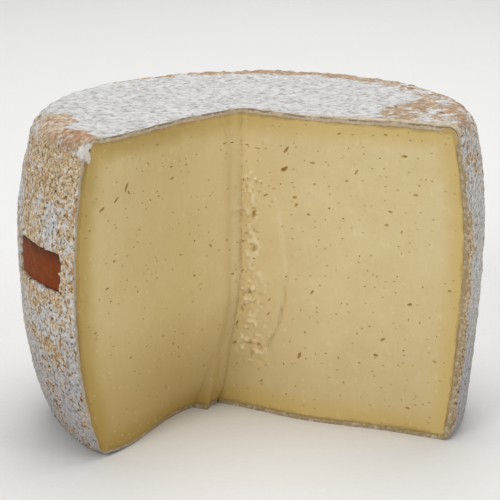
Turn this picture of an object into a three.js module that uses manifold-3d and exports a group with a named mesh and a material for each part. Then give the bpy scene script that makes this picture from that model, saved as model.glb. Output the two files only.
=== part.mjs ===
// A tall farmhouse cheese wheel with one wedge cut out of it, and the casein label pressed into its rind.
// Millimetres, +Z up. The origin is on the flat base, on the wheel's axis, and the wedge opens towards -Y.

import * as THREE from "three";
import { mergeVertices } from "three/addons/utils/BufferGeometryUtils.js";
import Module from "manifold-3d";

// The wheel: a barrel that is widest at its belly and leans in towards both rims.
const BELLY_RADIUS = 119.8;
const WHEEL_HEIGHT = 162;
const BELLY_HEIGHT = 99;
const TOP_LEAN = 9.5;
const TOP_POWER = 2;
const BASE_LEAN = 12;
const BASE_POWER = 2.2;
const TOP_RIM_RADIUS = 9.5;
const BASE_RIM_RADIUS = 3.5;

// The base is flat in the middle and curls up a little towards its rim.
const FLAT_RADIUS = 60;
const CURL = 1.45;
const CURL_POWER = 1.5;
const CURL_FADE_HEIGHT = 25;

// It settled unevenly as it ripened. On its fuller side each of these is added; across from it, taken away.
const FULLER_SIDE_ANGLE = 171;
const FULLER_RADIUS = 1.4;
const FULLER_BELLY_HEIGHT = -5;
const FULLER_TOP_LEAN = 2;
const FULLER_BASE_LEAN = 4;
const FULLER_BASE_POWER = 0.5;
const FULLER_CURL = 1.35;

// The wedge: two knife cuts that meet near the axis, the same angle to either side of -Y.
// The right face swells out a little and the left face is a little hollow, each about a place along it.
const WEDGE_OPENING = 109.4;
const RIGHT_CUT_OFFSET = 2;
const RIGHT_SWELL = 4;
const RIGHT_SWELL_PLACE = 32;
const RIGHT_SWELL_HALF_WIDTH = 50;
const LEFT_HOLLOW = 6.5;
const LEFT_HOLLOW_PLACE = 35;
const LEFT_HOLLOW_HALF_WIDTH = 60;
const KNIFE_OVERRUN = 4;

// Low down the left cut turns in under the wheel, most of all near the corner between the cuts.
const TURN_HEIGHT = 62;
const TURN_POWER = 1.5;
const TURN_DEPTH = 18;
const TURN_FADE_START = 10;
const TURN_FADE_END = 112;

// The corner: the cuts miss each other by a small step, and leave a rib of paste at the foot.
const CORNER_STEP = 0.8;
const RIB_HEIGHT = 36;
const RIB_DEPTH = 13;
const RIB_FRONT = 8.9;

// The casein label: a thin plate pressed into the side, a little below the rind.
const LABEL_START_ANGLE = 186.3;
const LABEL_LENGTH = 48;
const LABEL_WIDTH = 19;
const LABEL_BOTTOM = 86.5;
const LABEL_THICKNESS = 1.2;
const LABEL_SINK = 0.8;
const LABEL_GAP = 0.3;

// Mesh steps.
const ROUND_STEPS = 96;
const SIDE_STEPS = 14;
const RIM_STEPS = 5;
const FLAT_STEPS = 4;
const CUT_LENGTH_STEPS = 16;
const CUT_HEIGHT_STEPS = 14;
const LABEL_STEPS = 12;

const wasm = await Module();
wasm.setup();

const { clamp, degToRad, lerp, smoothstep } = THREE.MathUtils;

// Directions in plan. Each cut has one along it, away from the axis, and one into the cheese behind it.
const RIGHT_ANGLE = degToRad(WEDGE_OPENING / 2 - 90);
const LEFT_ANGLE = degToRad(-WEDGE_OPENING / 2 - 90);
const rightAlong = new THREE.Vector2(Math.cos(RIGHT_ANGLE), Math.sin(RIGHT_ANGLE));
const rightInto = new THREE.Vector2(-Math.sin(RIGHT_ANGLE), Math.cos(RIGHT_ANGLE));
const leftAlong = new THREE.Vector2(Math.cos(LEFT_ANGLE), Math.sin(LEFT_ANGLE));
const leftInto = new THREE.Vector2(Math.sin(LEFT_ANGLE), -Math.cos(LEFT_ANGLE));

// How far a cutter reaches along a cut: past the rim. The right one also runs on into the left one.
const REACH = 1.4 * BELLY_RADIUS;
const CUTTER_OVERLAP = 1.15;

/** The side at a height, before the rims are rounded. Fuller is 1 on the fuller side, -1 across from it. */
function sideRadius(z, fuller) {
  const belly = BELLY_HEIGHT + FULLER_BELLY_HEIGHT * fuller;
  const radius = BELLY_RADIUS + FULLER_RADIUS * fuller;
  if (z > belly) {
    const rise = (z - belly) / (WHEEL_HEIGHT - belly);
    return radius - (TOP_LEAN + FULLER_TOP_LEAN * fuller) * rise ** TOP_POWER;
  }
  const drop = (belly - z) / belly;
  return radius - (BASE_LEAN + FULLER_BASE_LEAN * fuller) * drop ** (BASE_POWER + FULLER_BASE_POWER * fuller);
}

/** How full the side is in a direction in plan: 1 on the fuller side, -1 across from it. */
function fullerAt(angle) {
  return Math.cos(angle - degToRad(FULLER_SIDE_ANGLE));
}

/** How far the base curls up, at a radius and a height above it. */
function curlAt(radius, z, fuller) {
  const outward = clamp((radius - FLAT_RADIUS) / (sideRadius(0, fuller) - FLAT_RADIUS), 0, 1) ** CURL_POWER;
  return (CURL + FULLER_CURL * fuller) * outward * (1 - smoothstep(z, 0, CURL_FADE_HEIGHT));
}

/** The wheel's outline from the middle of its base, round both rims, to the middle of its top. */
function wheelOutline() {
  const points = [new THREE.Vector2(0, 0)];
  const flatEnd = sideRadius(0, 0) - BASE_RIM_RADIUS;
  for (let i = 0; i < FLAT_STEPS; i++) {
    points.push(new THREE.Vector2(lerp(FLAT_RADIUS, flatEnd, i / FLAT_STEPS), 0));
  }
  for (let i = 0; i <= RIM_STEPS; i++) {
    const turn = (i / RIM_STEPS) * (Math.PI / 2);
    const z = BASE_RIM_RADIUS * (1 - Math.cos(turn));
    points.push(new THREE.Vector2(sideRadius(z, 0) - BASE_RIM_RADIUS * (1 - Math.sin(turn)), z));
  }
  for (let i = 1; i < SIDE_STEPS; i++) {
    const z = lerp(BASE_RIM_RADIUS, WHEEL_HEIGHT - TOP_RIM_RADIUS, i / SIDE_STEPS);
    points.push(new THREE.Vector2(sideRadius(z, 0), z));
  }
  for (let i = 0; i <= RIM_STEPS; i++) {
    const turn = (i / RIM_STEPS) * (Math.PI / 2);
    const z = WHEEL_HEIGHT - TOP_RIM_RADIUS * (1 - Math.sin(turn));
    points.push(new THREE.Vector2(sideRadius(z, 0) - TOP_RIM_RADIUS * (1 - Math.cos(turn)), z));
  }
  points.push(new THREE.Vector2(0, WHEEL_HEIGHT));
  return points;
}

/** The whole wheel, turned about +Z and then settled: fuller on its fuller side, and curled at the base. */
function wholeWheel() {
  const geometry = new THREE.LatheGeometry(wheelOutline(), ROUND_STEPS);
  geometry.rotateX(Math.PI / 2);
  const position = geometry.getAttribute("position");
  for (let i = 0; i < position.count; i++) {
    const [x, y, z] = [position.getX(i), position.getY(i), position.getZ(i)];
    const fuller = fullerAt(Math.atan2(y, x));
    const share = sideRadius(z, fuller) / sideRadius(z, 0);
    position.setXYZ(i, x * share, y * share, z + curlAt(share * Math.hypot(x, y), z, fuller));
  }
  return geometry;
}

/** A unit block whose points are moved by place(u, v, w), with all three from 0 to 1. */
function shapedBlock(steps, place) {
  const geometry = new THREE.BoxGeometry(1, 1, 1, ...steps);
  const position = geometry.getAttribute("position");
  for (let i = 0; i < position.count; i++) {
    const moved = place(position.getX(i) + 0.5, position.getY(i) + 0.5, position.getZ(i) + 0.5);
    position.setXYZ(i, ...moved);
  }
  return geometry;
}

/** How much of the low turn the left cut has at a height: 0 above it, 1 at the base. */
function turnAt(z) {
  return clamp((TURN_HEIGHT - z) / TURN_HEIGHT, 0, 1) ** TURN_POWER;
}

/** How much of the rib there is at a height: 0 above it, 1 at the base. */
function ribAt(z) {
  return clamp((RIB_HEIGHT - z) / RIB_HEIGHT, 0, 1);
}

/** A smooth hump of height 1 about a place. */
function hump(along, place, halfWidth) {
  const share = clamp((along - place) / halfWidth, -1, 1);
  return Math.cos((share * Math.PI) / 2) ** 2;
}

/** How far the left cut lies into the cheese, at a distance along it and a height. */
function leftCutDepth(along, z) {
  const hollow = LEFT_HOLLOW * hump(along, LEFT_HOLLOW_PLACE, LEFT_HOLLOW_HALF_WIDTH);
  const turn = TURN_DEPTH * (1 - smoothstep(along, TURN_FADE_START, TURN_FADE_END));
  return hollow + turn * turnAt(z);
}

/** How far the right cut lies into the cheese, at a distance along it. */
function rightCutDepth(along) {
  return -RIGHT_CUT_OFFSET - RIGHT_SWELL * hump(along, RIGHT_SWELL_PLACE, RIGHT_SWELL_HALF_WIDTH);
}

/** A height on a cutter that runs past the wheel's base and top. */
function cutterHeight(w) {
  return lerp(-KNIFE_OVERRUN, WHEEL_HEIGHT + KNIFE_OVERRUN, w);
}

/** A point of the left face in plan. */
function leftFace(along, z) {
  return leftAlong.clone().multiplyScalar(along).addScaledVector(leftInto, leftCutDepth(along, z));
}

/** A point of the right face in plan. */
function rightFace(along) {
  return rightAlong.clone().multiplyScalar(along).addScaledVector(rightInto, rightCutDepth(along));
}

/** Where the left cut starts, along it: level with the front of the rib. */
function leftStart(z) {
  const frontOfRib = -RIGHT_CUT_OFFSET - RIB_DEPTH;
  const depth = leftCutDepth(0, z);
  return (frontOfRib - depth * leftInto.dot(rightInto)) / leftAlong.dot(rightInto);
}

/** Where the right cut starts, along it: where the left cut would meet it if it went on. */
function rightStart(z) {
  const depth = leftCutDepth(0, z);
  return (depth + RIGHT_CUT_OFFSET * leftInto.dot(rightInto)) / leftInto.dot(rightAlong) + CORNER_STEP;
}

/** What the left cut takes: from its own face across to the front of the rib and out past the rim. */
function leftCutter() {
  return shapedBlock([CUT_LENGTH_STEPS, 1, CUT_HEIGHT_STEPS], (u, v, w) => {
    const z = cutterHeight(w);
    const place = leftFace(lerp(leftStart(z), REACH, u), z).addScaledVector(rightAlong, REACH * v);
    return [place.x, place.y, z];
  });
}

/** What the right cut takes: a slab in front of its face. The slab's inner end is the side of the rib. */
function rightCutter() {
  return shapedBlock([CUT_LENGTH_STEPS, 1, CUT_HEIGHT_STEPS], (u, v, w) => {
    const z = cutterHeight(w);
    const inner = rightFace(rightStart(z));
    const outer = leftFace(leftStart(z), z);
    outer.addScaledVector(rightAlong, CORNER_STEP + RIB_FRONT * ribAt(z));
    const side = outer.sub(inner);
    const place = rightFace(lerp(rightStart(z), REACH, u)).addScaledVector(side, CUTTER_OVERLAP * (1 - v));
    return [place.x, place.y, z];
  });
}

/** A plate that follows the barrel's side, from a depth below it, made larger all round by grow. */
function sidePlate(outerDepth, thickness, grow) {
  const angleOf = (length) => length / BELLY_RADIUS;
  const start = degToRad(LABEL_START_ANGLE) - angleOf(grow);
  return shapedBlock([LABEL_STEPS, 1, 2], (u, v, w) => {
    const angle = start + angleOf(LABEL_LENGTH + 2 * grow) * u;
    const z = lerp(LABEL_BOTTOM - grow, LABEL_BOTTOM + LABEL_WIDTH + grow, w);
    const radius = sideRadius(z, fullerAt(angle)) - outerDepth - thickness * v;
    return [radius * Math.cos(angle), radius * Math.sin(angle), z];
  });
}

/** The label itself. */
function labelPlate() {
  return sidePlate(LABEL_SINK, LABEL_THICKNESS, 0);
}

/** The dent that the label sits in: open outwards, and clear of the label by the gap. */
function labelDent() {
  const outside = -TOP_RIM_RADIUS;
  return sidePlate(outside, LABEL_SINK + LABEL_THICKNESS + LABEL_GAP - outside, LABEL_GAP);
}

/** A three.js geometry as a solid that can be joined and cut. */
function toSolid(geometry) {
  const bare = geometry.clone();
  bare.deleteAttribute("normal");
  bare.deleteAttribute("uv");
  const merged = mergeVertices(bare, 1e-4);
  const vertProperties = new Float32Array(merged.getAttribute("position").array);
  const triVerts = new Uint32Array(merged.index.array);
  return new wasm.Manifold(new wasm.Mesh({ numProp: 3, vertProperties, triVerts }));
}

/** A solid as a three.js geometry. */
function toGeometry(solid) {
  const mesh = solid.getMesh();
  const geometry = new THREE.BufferGeometry();
  geometry.setAttribute("position", new THREE.BufferAttribute(mesh.vertProperties, 3));
  geometry.setIndex(new THREE.BufferAttribute(mesh.triVerts, 1));
  geometry.computeVertexNormals();
  return geometry;
}

/** The cheese: the whole wheel without the wedge and the label's dent. */
function cheeseWheel() {
  const cutters = [leftCutter(), rightCutter(), labelDent()].map(toSolid);
  const cut = cutters.reduce((left, cutter) => left.subtract(cutter), toSolid(wholeWheel()));
  return toGeometry(cut);
}

/** A named mesh with its own material. */
function piece(name, geometry, color, roughness) {
  const material = new THREE.MeshStandardMaterial({ color, roughness, metalness: 0 });
  const mesh = new THREE.Mesh(geometry, material);
  mesh.name = name;
  return mesh;
}

const cheese = new THREE.Group();
cheese.add(piece("cheese_wheel", cheeseWheel(), "#c8b88c", 0.75));
cheese.add(piece("casein_label", labelPlate(), "#743e1d", 0.6));

export default cheese;
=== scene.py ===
"""A farmhouse cheese wheel with one wedge cut out: its rind, its paste and the casein label in its side."""

import math
from itertools import product

import bmesh
import bpy
import numpy as np
from mathutils import Matrix, Vector


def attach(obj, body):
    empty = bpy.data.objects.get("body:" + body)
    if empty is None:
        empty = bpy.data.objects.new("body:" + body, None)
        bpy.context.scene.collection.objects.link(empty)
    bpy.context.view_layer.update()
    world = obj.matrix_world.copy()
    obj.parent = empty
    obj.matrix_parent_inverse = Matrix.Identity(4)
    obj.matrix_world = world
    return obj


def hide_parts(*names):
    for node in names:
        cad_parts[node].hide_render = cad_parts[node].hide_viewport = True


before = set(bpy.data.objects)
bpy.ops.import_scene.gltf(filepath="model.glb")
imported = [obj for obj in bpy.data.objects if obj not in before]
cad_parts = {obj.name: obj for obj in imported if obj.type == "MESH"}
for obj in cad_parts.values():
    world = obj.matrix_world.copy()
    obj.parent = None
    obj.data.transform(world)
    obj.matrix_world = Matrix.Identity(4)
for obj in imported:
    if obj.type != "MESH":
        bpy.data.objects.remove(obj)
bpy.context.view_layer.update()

bl_info = {
    "name": "Cut Cheese Wheel",
    "version": (1, 0, 0),
    "blender": (4, 5, 0),
    "location": "3D View > Sidebar > Cheese",
    "description": "Makes a cut cheese wheel with its rind, paste, pores and casein label",
    "category": "Add Mesh",
}

MM = 0.001

# The barrel, as the frame has it.
BELLY_HEIGHT = 99 * MM
TOP_LEAN = 9.5 * MM
TOP_POWER = 2
BASE_LEAN = 12 * MM
BASE_POWER = 2.2
TOP_RIM = 9.5 * MM
BASE_RIM = 3.5 * MM
FLAT_RADIUS = 60 * MM
CURL = 1.45 * MM
CURL_POWER = 1.5
CURL_FADE = 25 * MM

# The top rim is squarer beside each cut, and the paste's own corner is squarer all round.
CUT_ANGLES = (math.radians(215.3), math.radians(-35.3))
SQUARE_HALF_WIDTHS = (math.radians(30), math.radians(22))
SQUARER = 5.5 * MM
PASTE_SQUARER = 3.6 * MM
CORNER_SHARE = 0.414

# A dark spot in the torn white corner above the left cut.
TORN_SPOT = (-88.5 * MM, -62 * MM, 157 * MM)

# What the barrel's fuller side adds, and the side across from it lacks.
FULLER_SIDE = math.radians(171)
FULLER_RADIUS = 1.4 * MM
FULLER_BELLY_HEIGHT = -5 * MM
FULLER_TOP_LEAN = 2 * MM
FULLER_BASE_LEAN = 4 * MM
FULLER_BASE_POWER = 0.5
FULLER_CURL = 1.35 * MM

# The two cuts, as the frame has them.
RIGHT_OFFSET = 2 * MM
RIGHT_SWELL = 4 * MM
RIGHT_SWELL_PLACE = 32 * MM
RIGHT_SWELL_HALF_WIDTH = 50 * MM
LEFT_HOLLOW = 6.5 * MM
LEFT_HOLLOW_PLACE = 35 * MM
LEFT_HOLLOW_HALF_WIDTH = 60 * MM
OVERRUN = 4 * MM
TURN_HEIGHT = 62 * MM
TURN_POWER = 1.5
TURN_DEPTH = 18 * MM
TURN_FADE_START = 10 * MM
TURN_FADE_END = 112 * MM
CORNER_STEP = 0.8 * MM
RIB_HEIGHT = 36 * MM
RIB_DEPTH = 13 * MM
RIB_FRONT = 8.9 * MM
FINE_REACH = 124 * MM

# The torn join lies a little further left than a clean one would, most of all low down.
JOIN_SHIFT = 2.7 * MM
JOIN_SHIFT_LOW = 2.0 * MM
JOIN_LOW = 50 * MM
JOIN_LOW_HALF_HEIGHT = 35 * MM
WALL_LAYERS = 20

# Shares of the way from the join to the rib's front: where the step at the join has faded, where the
# wall ends, and where the cutter's far side lies; then the gap between the layers of that far side.
WALL_FADED = 0.6
WALL_END = 1.15
WALL_FAR = 1.3
WALL_GAP = 0.25 * MM

# The label, as the frame has it.
LABEL_START = math.radians(186.3)
LABEL_LENGTH = 48 * MM
LABEL_WIDTH = 19 * MM
LABEL_BOTTOM = 86.5 * MM
LABEL_THICKNESS = 1.2 * MM
LABEL_SINK = 0.8 * MM

# What the plate that shows adds to it at its far end, and the points along and across it.
LABEL_NIB = 2.2 * MM
LABEL_OVERHANG = 0.9 * MM
LABEL_COLUMNS = 150
LABEL_ROWS = 60

# How far out the white bloom reaches on the top: degrees round from +X, and millimetres from the axis.
BLOOM_REACH = [(-40, 57), (-35, 65), (-11, 68), (-4, 76), (3, 88), (15, 90), (35, 91), (57, 93), (86, 92),
               (118, 99), (150, 108), (170, 109), (177, 106), (180, 94), (192, 93), (198, 105), (205, 98),
               (214, 100), (220, 101), (320, 57)]

# Steps between the points of the two skins and of the cutters, and the fewest points in a ring.
RIND_STEP = 1.5 * MM
PASTE_STEP = 2.6 * MM
CUT_STEP = 0.9 * MM
FEWEST_IN_RING = 32

# A face of the rind is the knife's when it is this close to a cut and clear of the join between them.
CUT_TOLERANCE = 0.12 * MM
CLEAR_OF_JOIN = 8 * MM
NEAR_JOIN = 34 * MM

# The base is kept this far off the paper.
LEAST_HEIGHT = 0.05 * MM

# The lump that cuts a hole stands half out of the face. Shares of the hole's length, of its length and
# width together, and of its width.
HOLE_LONG = 1.45
HOLE_DEEP = 0.55
HOLE_WIDE = 1.05

# Holes on the right face: along the cut, height, length, width, all in millimetres, and the turn in degrees.
RIGHT_HOLES = [
    (21, 143, 3.2, 1.3, 50), (74, 155, 1.6, 1.0, 0), (50, 154, 1.5, 1.0, 20), (84, 145, 2.0, 1.4, 0),
    (36, 138, 1.8, 1.2, 0), (20, 133, 2.8, 2.0, 30), (59, 135, 2.4, 1.0, 60), (54, 130, 1.4, 1.2, 0),
    (26, 119, 1.6, 1.6, 0), (27, 115, 1.9, 1.5, 40), (34, 111, 1.6, 1.2, 0), (90, 126, 1.7, 1.3, 0),
    (37, 127, 1.4, 1.0, 10), (77, 116, 1.5, 1.2, 0), (75, 109, 1.6, 1.3, 0), (83, 106, 1.5, 1.1, 80),
    (36, 70, 2.2, 1.3, 65), (109, 79, 1.5, 1.2, 0), (88, 69, 2.0, 1.5, 20), (74, 49, 2.2, 1.4, 30),
    (70, 40, 1.9, 1.4, 0), (29, 35, 3.0, 1.5, 70), (102, 41, 1.6, 1.2, 0), (11, 55, 2.0, 1.0, 40),
    (88, 14, 2.0, 1.3, 0), (6, 17, 1.8, 0.9, 30), (-4.4, 125, 1.8, 1.2, 80), (-1, 126, 1.7, 1.0, 60),
    (-2, 121, 1.4, 1.1, 0), (2, 108, 1.6, 1.2, 60), (4, 98, 1.2, 0.9, 0),
    (-4.4, 92, 1.6, 1.0, 0), (-4.6, 76, 1.7, 1.0, 60), (3, 84, 1.2, 0.9, 0), (-8, 47, 2.4, 1.0, 70),
    (-9.6, 36, 2.8, 1.0, 30), (-2, 143, 2.2, 0.5, 0), (4, 142, 2.8, 0.4, 0), (9, 142.5, 1.8, 0.4, 8),
    (12, 63, 1.8, 1.0, 50), (14, 122, 1.2, 0.9, 0), (9, 118, 2.4, 1.0, 20),
]

# The same for the left face.
LEFT_HOLES = [
    (86, 135, 3.6, 1.2, 120), (84.5, 132.5, 2.0, 1.0, 60), (93, 130, 2.6, 1.0, 140),
    (102, 127, 2.4, 1.7, 150), (52, 133, 1.7, 1.2, 0), (52, 139, 1.5, 1.0, 0), (70, 144, 1.6, 1.1, 30),
    (41, 138, 1.5, 1.2, 0), (62, 126, 1.4, 1.0, 0), (62, 152, 1.8, 0.9, 0), (25, 93, 1.7, 1.2, 50),
    (14, 94, 1.6, 1.1, 0),
    (95, 100, 1.6, 1.2, 0), (100, 87, 1.5, 1.1, 0), (36, 79, 1.8, 1.2, 30), (110, 118, 1.3, 1.0, 0),
    (60, 53, 1.7, 1.2, 0), (85, 48, 1.5, 1.2, 0), (108, 66, 1.4, 1.0, 0), (10, 75, 1.6, 1.1, 0),
    (51, 46, 1.5, 1.0, 20), (45, 37, 1.6, 1.1, 0), (15, 145, 2.0, 0.7, 0), (10, 144.5, 2.0, 0.5, 0),
    (77, 112, 1.4, 1.0, 0),
]

# The edge of the shallow slab beside the corner on the right face: height and place along the cut,
# in millimetres.
SLAB_EDGE = [(24, 0), (28, 3), (37, 10), (48, 15.5), (60, 19), (79, 22), (103, 19), (123, 14), (134, 11)]

# The paper's section from its middle outwards: radius and height, in metres.
PAPER_SWEEP = [(0.5, 0), (2.2, 0), (2.6, 0.03), (2.95, 0.2), (3.2, 0.55), (3.3, 1.1), (3.3, 3.2)]


def smooth(value, low, high):
    """0 below low, 1 above high, and an even ease between."""
    share = np.clip((value - low) / (high - low), 0, 1)
    return share * share * (3 - 2 * share)


def plateau(value, low, full, fading, high):
    """0 below low, 1 from full to fading, 0 again above high."""
    return smooth(value, low, full) * (1 - smooth(value, fading, high))


def around(radius, angle, z):
    """Points at an angle round the axis."""
    return np.stack([radius * np.cos(angle), radius * np.sin(angle), z + 0 * angle], axis=-1)


def grain(points, size, seed):
    """Smooth lumps from -1 to 1, each about one size across."""
    cell = np.asarray(points, float) / size
    base = np.floor(cell).astype(np.int64)
    part = cell - base
    ease = part * part * (3 - 2 * part)
    total = np.zeros(cell.shape[:-1])
    for corner in product((0, 1), repeat=3):
        spot = base + corner
        mixed = spot[..., 0] * 73856093 ^ spot[..., 1] * 19349663 ^ spot[..., 2] * 83492791
        mixed = (mixed + seed * 40503) & 0x7FFFFFFF
        mixed = (mixed ^ (mixed >> 13)) * 1274126177 & 0x7FFFFFFF
        mixed = mixed ^ (mixed >> 16)
        height = (mixed & 0xFFFF) / 32767.5 - 1
        total += height * np.prod(np.where(corner, ease, 1 - ease), axis=-1)
    return total


def rounded_corner(side, end, radius):
    """How deep a place lies, from its depths below two faces that meet in a rounded corner."""
    inside = (side < radius) & (end < radius)
    return np.where(inside, radius - np.hypot(radius - side, radius - end), np.minimum(side, end))


class Barrel:
    """The wheel's outside."""

    def __init__(self, sizes):
        self.radius = sizes.belly_radius
        self.height = sizes.wheel_height

    def side(self, z, fuller):
        """The side's radius at a height, before the rims are rounded."""
        belly = BELLY_HEIGHT + FULLER_BELLY_HEIGHT * fuller
        rise = np.clip((z - belly) / (self.height - belly), 0, None)
        drop = np.clip((belly - z) / belly, 0, None)
        lean = (TOP_LEAN + FULLER_TOP_LEAN * fuller) * rise**TOP_POWER
        tuck = (BASE_LEAN + FULLER_BASE_LEAN * fuller) * drop ** (BASE_POWER + FULLER_BASE_POWER * fuller)
        return self.radius + FULLER_RADIUS * fuller - lean - tuck

    def curl(self, radius, z, fuller):
        """How far the base curls up."""
        outward = np.clip((radius - FLAT_RADIUS) / (self.side(0, fuller) - FLAT_RADIUS), 0, 1) ** CURL_POWER
        return (CURL + FULLER_CURL * fuller) * outward * (1 - smooth(z, 0, CURL_FADE))

    def outline(self, step, inset):
        """Radius, height and outward direction from the middle of the base to the middle of the top."""
        base_end = self.side(0, 0) - BASE_RIM
        top_end = self.side(self.height, 0) - TOP_RIM
        spots = [(r, 0) for r in np.linspace(0, base_end, round(base_end / (2.4 * step)))[:-1]]
        for turn in np.linspace(0, math.pi / 2, 6):
            z = BASE_RIM * (1 - math.cos(turn))
            spots.append((self.side(z, 0) - BASE_RIM * (1 - math.sin(turn)), z))
        low, high = BASE_RIM, self.height - TOP_RIM
        for z in np.linspace(low, high, round((high - low) / step))[1:-1]:
            spots.append((self.side(z, 0), z))
        for turn in np.linspace(0, math.pi / 2, 11):
            z = self.height - TOP_RIM * (1 - math.sin(turn))
            spots.append((self.side(z, 0) - TOP_RIM * (1 - math.cos(turn)), z))
        spots += [(r, self.height) for r in np.linspace(top_end, 0, round(top_end / step))[1:]]
        spots = np.array(spots)
        across = np.clip((spots[:, 1] - self.height + TOP_RIM) / TOP_RIM, 0, 1)
        on_rim = (spots[:, 0] > top_end - MM / 100) * np.sin(2 * np.arcsin(across)) ** 1.5
        run = np.gradient(spots, axis=0)
        outward = np.stack([run[:, 1], -run[:, 0]], axis=1)
        outward /= np.linalg.norm(outward, axis=1)[:, None]
        spots = spots - outward * inset
        spots[[0, -1], 0] = 0
        return spots, outward, on_rim

    def squareness(self, angle):
        """How much smaller the top rim's radius is in a direction in plan."""
        total = 0 * angle
        for cut, half_width in zip(CUT_ANGLES, SQUARE_HALF_WIDTHS):
            off = np.abs((angle - cut + math.pi) % (2 * math.pi) - math.pi)
            total = total + SQUARER * (1 - smooth(off, 0.35 * half_width, half_width))
        return total

    def rings(self, step, inset, relief):
        """Rings of points round the wheel. A smaller ring has half the points of its neighbour at times."""
        rings = []
        for (radius, z), (out_r, out_z), on_rim in zip(*self.outline(step, inset)):
            count = 1
            if radius > 0.2 * step:
                doublings = math.ceil(math.log2(max(2 * math.pi * radius / (FEWEST_IN_RING * step), 1)))
                count = FEWEST_IN_RING * 2 ** min(doublings, 4 if step < PASTE_STEP else 3)
            angle = np.arange(count) * 2 * math.pi / count
            fuller = np.cos(angle - FULLER_SIDE)
            r = radius * self.side(z, fuller) / self.side(z, 0)
            height = z + self.curl(r, z, fuller)
            lift = relief(around(r, angle, height)) * (count > 1)
            squarer = self.squareness(angle) + (PASTE_SQUARER if inset else 0)
            lift = lift + CORNER_SHARE * squarer * on_rim
            r = r + lift * out_r
            rings.append(around(r, angle, np.maximum(height + lift * out_z, LEAST_HEIGHT)))
        return rings

    def depth(self, points):
        """How far each point lies below the outside."""
        radius = np.hypot(points[:, 0], points[:, 1])
        angle = np.arctan2(points[:, 1], points[:, 0])
        fuller = np.cos(angle - FULLER_SIDE)
        z = points[:, 2]
        below_side = self.side(z, fuller) - radius
        above_base = z - self.curl(radius, z, fuller)
        deep = rounded_corner(below_side, self.height - z, TOP_RIM - self.squareness(angle))
        return np.minimum(deep, rounded_corner(below_side, above_base, BASE_RIM))


def rind_relief(points):
    """How far the rind's crust stands proud of the even barrel."""
    z = points[:, 2]
    radius = np.hypot(points[:, 0], points[:, 1])
    top = smooth(z, 150 * MM, 160 * MM)
    base = 1 - smooth(z, 0, 4 * MM)
    broad = 0.5 * grain(points, 24 * MM, 1) + 0.35 * grain(points, 9 * MM, 2)
    side = broad + 0.42 * grain(points, 3.6 * MM, 3) + 0.3 * grain(points, 1.9 * MM, 4)
    flat = 0.5 * broad + 0.3 * grain(points, 4.2 * MM, 5) + 0.16 * grain(points, 2.1 * MM, 6)
    rim = smooth(radius, 88 * MM, 106 * MM) * smooth(z, 138 * MM, 154 * MM)
    crumbly = grain(points, 3.1 * MM, 7) + 0.6 * grain(points, 2.0 * MM, 8)
    lift = side * (1 - top) + flat * top + 0.55 * rim * crumbly
    lift = lift + 2.0 * torn_corner(points) * (0.7 + 0.8 * grain(points, 2.6 * MM, 9))
    return lift * (1 - 0.9 * base) * MM


def torn_corner(points):
    """1 at the torn white corner of the rind above the left cut, fading to 0 around it."""
    off = points - np.array([-89, -61.5, 155.5]) * MM
    near = np.exp(-np.einsum("...i,...i->...", off, off) / (4.5 * MM) ** 2)
    return near * (1 + 0.5 * grain(points, 2.2 * MM, 14))


def paste_relief(points):
    """How unevenly the paste runs up to its rind."""
    thinner = 0.9 * (points[..., 0] < -60 * MM) * (1 - smooth(points[..., 2], 140 * MM, 152 * MM))
    uneven = 0.35 * grain(points, 11 * MM, 11) + 0.45 * grain(points, 4.5 * MM, 12)
    return (uneven + thinner - 3.6 * torn_corner(points)) * MM


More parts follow.
